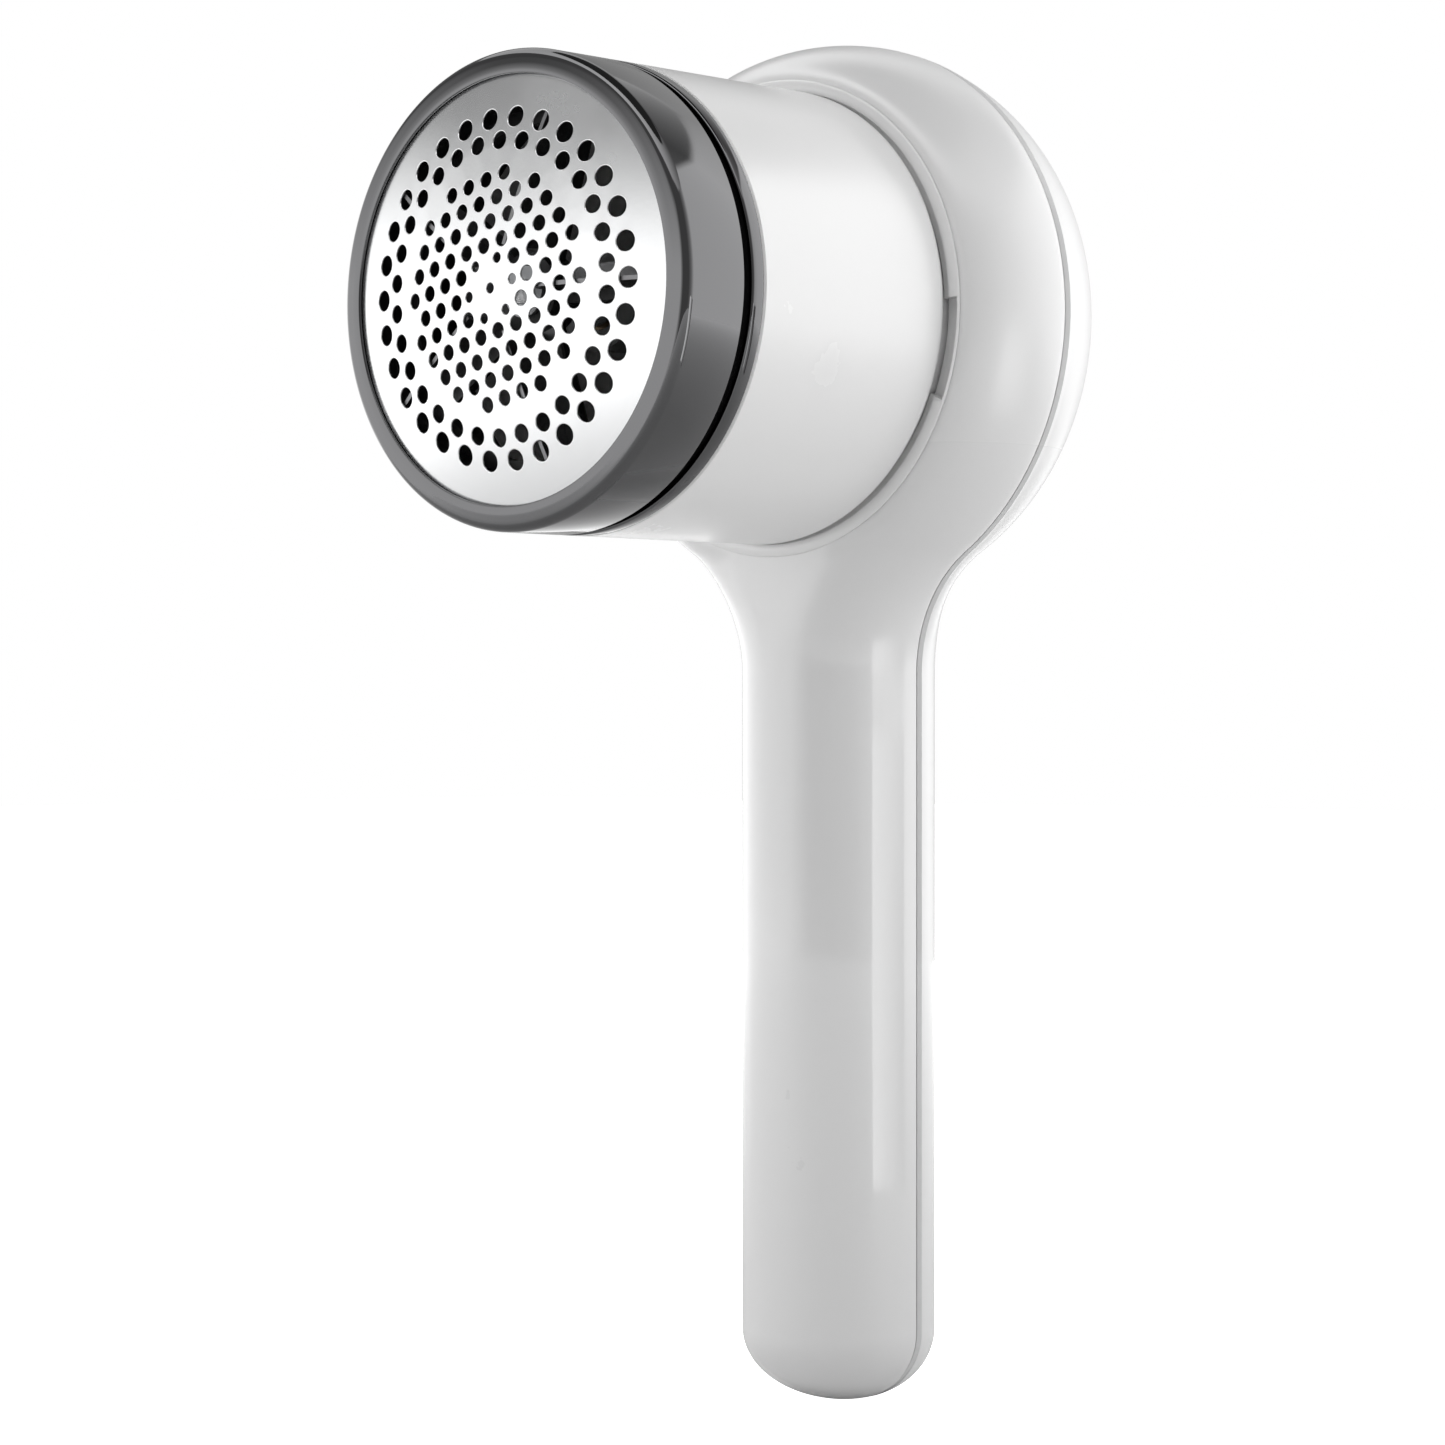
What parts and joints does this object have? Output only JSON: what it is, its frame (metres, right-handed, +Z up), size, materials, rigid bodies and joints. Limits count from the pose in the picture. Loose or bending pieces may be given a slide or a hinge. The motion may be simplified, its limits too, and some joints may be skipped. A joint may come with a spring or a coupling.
{
  "type": "fabric shaver",
  "caption": "Handheld fabric shaver: slim upright grip, round head with a forward barrel, perforated domed foil, sprung rotary cutter and pull-off lint cup.",
  "frame": {"origin": "under the middle of the part's box, at the lowest point of the grip", "axes": "+Z up along the grip, +X to the right seen from the front, the foil faces -Y and the flat back faces +Y"},
  "size_m": [0.07, 0.077, 0.1699],
  "materials": {
    "dark_chrome": "dark mirror plating",
    "foil_steel": "polished",
    "black_plastic": "satin",
    "cup_white": "satin gloss",
    "housing_white": "satin gloss",
    "grey_plastic": "matte",
    "zinc_steel": "zinc plated",
    "motor_steel": "satin",
    "ground_steel": "ground",
    "bronze": "sintered",
    "black_rubber": "matte",
    "lead_rubber": "matte",
    "board_green": "lacquered",
    "lens_clear": "clear",
    "cell_wrap": "shrink film on a metal can"
  },
  "bodies": {
    "housing": {"collar_ring": "housing_white", "front_housing": "housing_white", "rear_housing": "housing_white", "housing_screws": "zinc_steel", "bearing_tube": "grey_plastic", "shaft_bush": "bronze", "motor_mount": "zinc_steel", "motor_screws": "zinc_steel", "motor_can": "motor_steel", "motor_end_cap": "black_plastic", "motor_sleeve": "black_rubber", "motor_leads": "lead_rubber", "main_pcb": "board_green", "tact_switch": "black_plastic", "button_bezel": "dark_chrome", "indicator_led": "grey_plastic", "indicator_lens": "lens_clear", "usb_socket": "zinc_steel", "battery_cell": "cell_wrap", "battery_tabs": "zinc_steel", "battery_pad": "black_rubber"},
    "cup": {"lint_cup": "cup_white", "trim_ring": "dark_chrome", "bayonet_collar": "black_plastic"},
    "foil": {"cutting_foil": "foil_steel", "foil_frame": "black_plastic"},
    "guard": {"guard_ring": "dark_chrome"},
    "rotor": {"motor_shaft": "ground_steel", "drive_coupling": "black_plastic", "drive_shaft": "ground_steel", "thrust_collar": "bronze", "cutter_clip": "zinc_steel", "float_spring": "ground_steel"},
    "cutter": {"cutter_carrier": "black_plastic", "cutter_blades": "ground_steel"},
    "button": {"power_button": "housing_white", "switch_plunger": "grey_plastic"}
  },
  "joints": [
    {"name": "cup_pull", "type": "slide", "parent": "housing", "child": "cup", "axis": [0, -1, 0], "range_m": [0, 0.045]},
    {"name": "foil_lift", "type": "slide", "parent": "cup", "child": "foil", "axis": [0, -1, 0], "range_m": [0, 0.003]},
    {"name": "guard_turn", "type": "hinge", "parent": "foil", "child": "guard", "pos_m": [0, -0.03047, 0.135], "axis": [0, -1, 0], "range_deg": [0, 60]},
    {"name": "motor_spin", "type": "hinge", "parent": "housing", "child": "rotor", "pos_m": [0, -0.00547, 0.135], "axis": [0, -1, 0], "continuous": true},
    {"name": "cutter_float", "type": "slide", "parent": "rotor", "child": "cutter", "axis": [0, 1, 0], "range_m": [0, 0.0008], "stiffness_N_per_m": 400, "springref_m": -0.002, "deforming": ["float_spring"]},
    {"name": "button_press", "type": "slide", "parent": "housing", "child": "button", "axis": [0, -1, 0], "range_m": [0, 0.0004], "stiffness_N_per_m": 1500, "springref_m": -0.0006}
  ],
  "couplings": [
    {"joint": "foil_lift", "follows": "guard_turn", "m_per_rad": 0.0028648}
  ]
}
